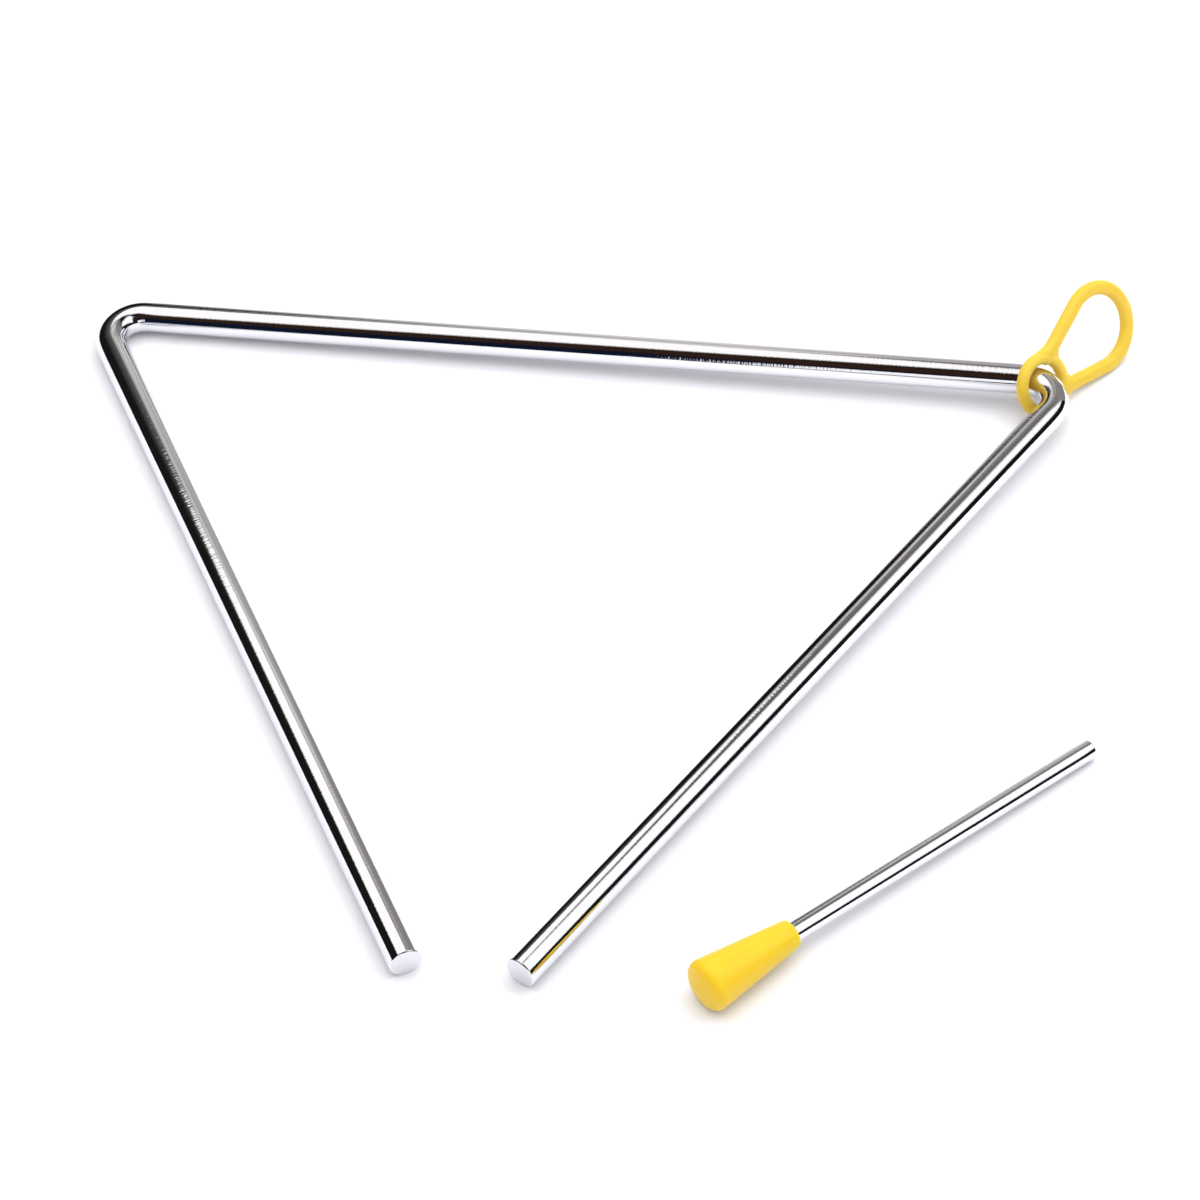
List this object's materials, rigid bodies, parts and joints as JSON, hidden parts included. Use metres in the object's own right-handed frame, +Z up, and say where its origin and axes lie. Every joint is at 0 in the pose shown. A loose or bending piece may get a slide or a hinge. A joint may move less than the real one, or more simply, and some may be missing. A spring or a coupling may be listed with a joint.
{
  "type": "triangle instrument",
  "caption": "Round steel bar bent into a triangle with one open corner, a moulded finger-loop holder ringed on the bar at a bend, and a separate steel beater with a tapered grip.",
  "frame": {"origin": "on the surface that the object lies on, under the middle of the box round all its pieces", "axes": "+Z up from the surface, +X along the top bar towards the corner that carries the holder, +Y from the open corner towards the top bar"},
  "size_m": [0.2692, 0.2338, 0.0221],
  "materials": {
    "bar_chrome": "bright chrome plate on drawn steel bar",
    "holder_plastic": "soft moulded plastic with a low sheen",
    "rod_chrome": "bright chrome plate on drawn steel rod",
    "grip_plastic": "moulded plastic with a soft gloss"
  },
  "bodies": {
    "triangle": {"triangle_bar": "bar_chrome"},
    "holder": {"holder": "holder_plastic"},
    "beater": {"beater_rod": "rod_chrome", "beater_grip": "grip_plastic"}
  },
  "joints": [
    {"name": "holder_turn", "type": "hinge", "parent": "triangle", "child": "holder", "pos_m": [0.11226, 0.08705, 0.0077], "axis": [0.6845, -0.5445, 0.4848], "continuous": true},
    {"name": "beater_lift", "type": "slide", "parent": "triangle", "child": "beater", "axis": [0, 0, 1], "range_m": [0, 0.15]}
  ]
}
